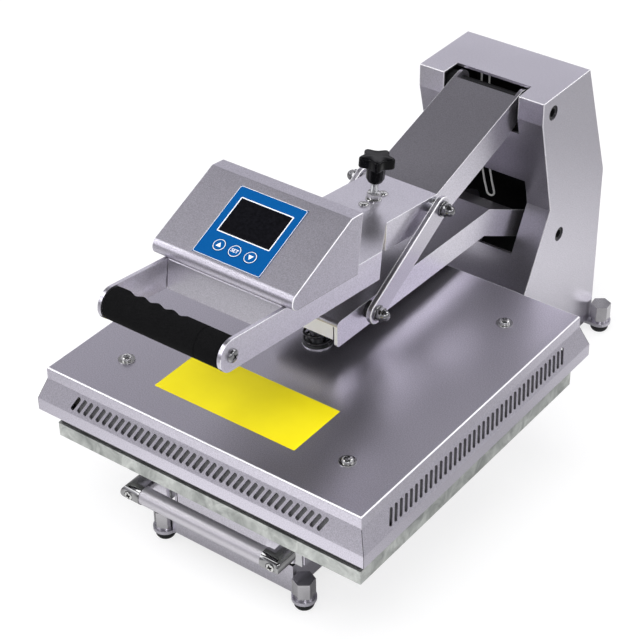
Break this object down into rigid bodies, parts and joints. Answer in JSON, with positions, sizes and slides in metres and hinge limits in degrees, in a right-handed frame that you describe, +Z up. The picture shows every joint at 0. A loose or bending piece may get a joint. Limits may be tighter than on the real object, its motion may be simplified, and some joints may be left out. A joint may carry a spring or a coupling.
{
  "type": "flat heat press",
  "caption": "Clamshell heat press: a lever over a toggle link lifts a slotted square heat head off a padded platen on a slide-out drawer, with a control box on the lever.",
  "frame": {"origin": "on the bench, straight below the centre of the square heat head and of the closed lower platen", "axes": "+Z up, the operator stands at -Y and the tower at +Y, X = 0 is the plane of symmetry"},
  "size_m": [0.4044, 0.688, 0.407],
  "materials": {
    "silver_paint": "silver metallic paint, satin, fine grain",
    "cover_paint": "silver metallic paint, satin",
    "box_paint": "silver metallic paint, satin",
    "foot_rubber": "black rubber",
    "dark_steel": "blackened steel",
    "zinc_steel": "zinc-plated steel",
    "chrome": "bright plated steel",
    "pull_paint": "satin light silver paint",
    "black_plastic": "black moulded plastic",
    "rocker_red": "red gloss plastic",
    "wire_white": "white sleeved wire",
    "platen_cast": "mottled cast aluminium",
    "heat_plate": "dark coated aluminium",
    "mica": "mica heating sheet",
    "wool": "glass-wool board",
    "foam": "black foam rubber",
    "silicone": "dark silicone sponge",
    "blue_film": "blue printed film, smooth",
    "dark_window": "dark tinted acrylic",
    "board_green": "circuit board"
  },
  "bodies": {
    "frame": {"base_channel": "silver_paint", "tower_housing": "silver_paint", "foot_fl": "foot_rubber", "foot_fr": "foot_rubber", "foot_bl": "foot_rubber", "foot_br": "foot_rubber", "upper_shaft": "dark_steel", "lower_shaft": "dark_steel", "power_entry": "black_plastic", "lead_wire": "wire_white", "slide_fixed_l": "zinc_steel", "slide_fixed_r": "zinc_steel"},
    "power_rocker": {"rocker": "rocker_red"},
    "head": {"lower_arm": "silver_paint", "link_pin": "dark_steel", "head_post": "zinc_steel", "spring_washer": "zinc_steel", "head_spring": "dark_steel", "cover_shell": "cover_paint", "cover_screw_fl": "chrome", "cover_screw_fr": "chrome", "cover_screw_bl": "chrome", "cover_screw_br": "chrome", "heat_platen": "heat_plate", "heater": "mica", "insulation": "wool"},
    "lever": {"lever_frame": "silver_paint", "lever_pin": "zinc_steel", "lever_nut_l": "chrome", "lever_nut_r": "chrome", "rod_nut": "chrome", "plate_screw_f": "chrome", "plate_screw_b": "chrome", "grip_rod": "zinc_steel", "foam_grip": "foam", "grip_screw_l": "chrome", "grip_screw_r": "chrome", "control_box": "box_paint", "membrane": "blue_film", "display_window": "dark_window", "control_board": "board_green"},
    "up_key": {"key_up": "blue_film"},
    "set_key": {"key_set": "blue_film"},
    "down_key": {"key_down": "blue_film"},
    "pressure_knob": {"knob": "black_plastic", "knob_rod": "zinc_steel"},
    "links": {"link_l": "silver_paint", "link_r": "silver_paint", "link_nut_l": "chrome", "link_nut_r": "chrome"},
    "drawer": {"carriage": "dark_steel", "slide_moving_l": "zinc_steel", "slide_moving_r": "zinc_steel", "lower_platen": "platen_cast", "silicone_pad": "silicone", "pull_tube": "pull_paint", "pull_elbow_l": "chrome", "pull_elbow_r": "chrome", "pull_screw_l": "dark_steel", "pull_screw_r": "dark_steel"}
  },
  "joints": [
    {"name": "lever_lift", "type": "hinge", "parent": "frame", "child": "lever", "pos_m": [0, 0.3143, 0.3475], "axis": [-1, 0, 0], "range_deg": [0, 45]},
    {"name": "head_lift", "type": "hinge", "parent": "frame", "child": "head", "pos_m": [0, 0.3454, 0.179], "axis": [-1, 0, 0], "range_deg": [0, 20.3]},
    {"name": "link_swing", "type": "hinge", "parent": "lever", "child": "links", "pos_m": [0, 0.145, 0.3051], "axis": [1, 0, 0], "range_deg": [0, 60.3]},
    {"name": "drawer_slide", "type": "slide", "parent": "frame", "child": "drawer", "axis": [0, -1, 0], "range_m": [0, 0.22]},
    {"name": "knob_turn", "type": "hinge", "parent": "lever", "child": "pressure_knob", "pos_m": [0, 0.0967, 0.3218], "axis": [0, 0.129, 0.9916], "continuous": true},
    {"name": "up_press", "type": "slide", "parent": "lever", "child": "up_key", "axis": [0, 0.3938, -0.9192], "range_m": [0, 0.0007], "stiffness_N_per_m": 400},
    {"name": "set_press", "type": "slide", "parent": "lever", "child": "set_key", "axis": [0, 0.3938, -0.9192], "range_m": [0, 0.0007], "stiffness_N_per_m": 400},
    {"name": "down_press", "type": "slide", "parent": "lever", "child": "down_key", "axis": [0, 0.3938, -0.9192], "range_m": [0, 0.0007], "stiffness_N_per_m": 400},
    {"name": "rocker_tilt", "type": "hinge", "parent": "frame", "child": "power_rocker", "pos_m": [0, 0.436, 0.1276], "axis": [1, 0, 0], "range_deg": [0, 18]}
  ],
  "couplings": [
    {"joint": "head_lift", "follows": "lever_lift", "ratio": 0.4487},
    {"joint": "link_swing", "follows": "lever_lift", "ratio": 1.337}
  ]
}
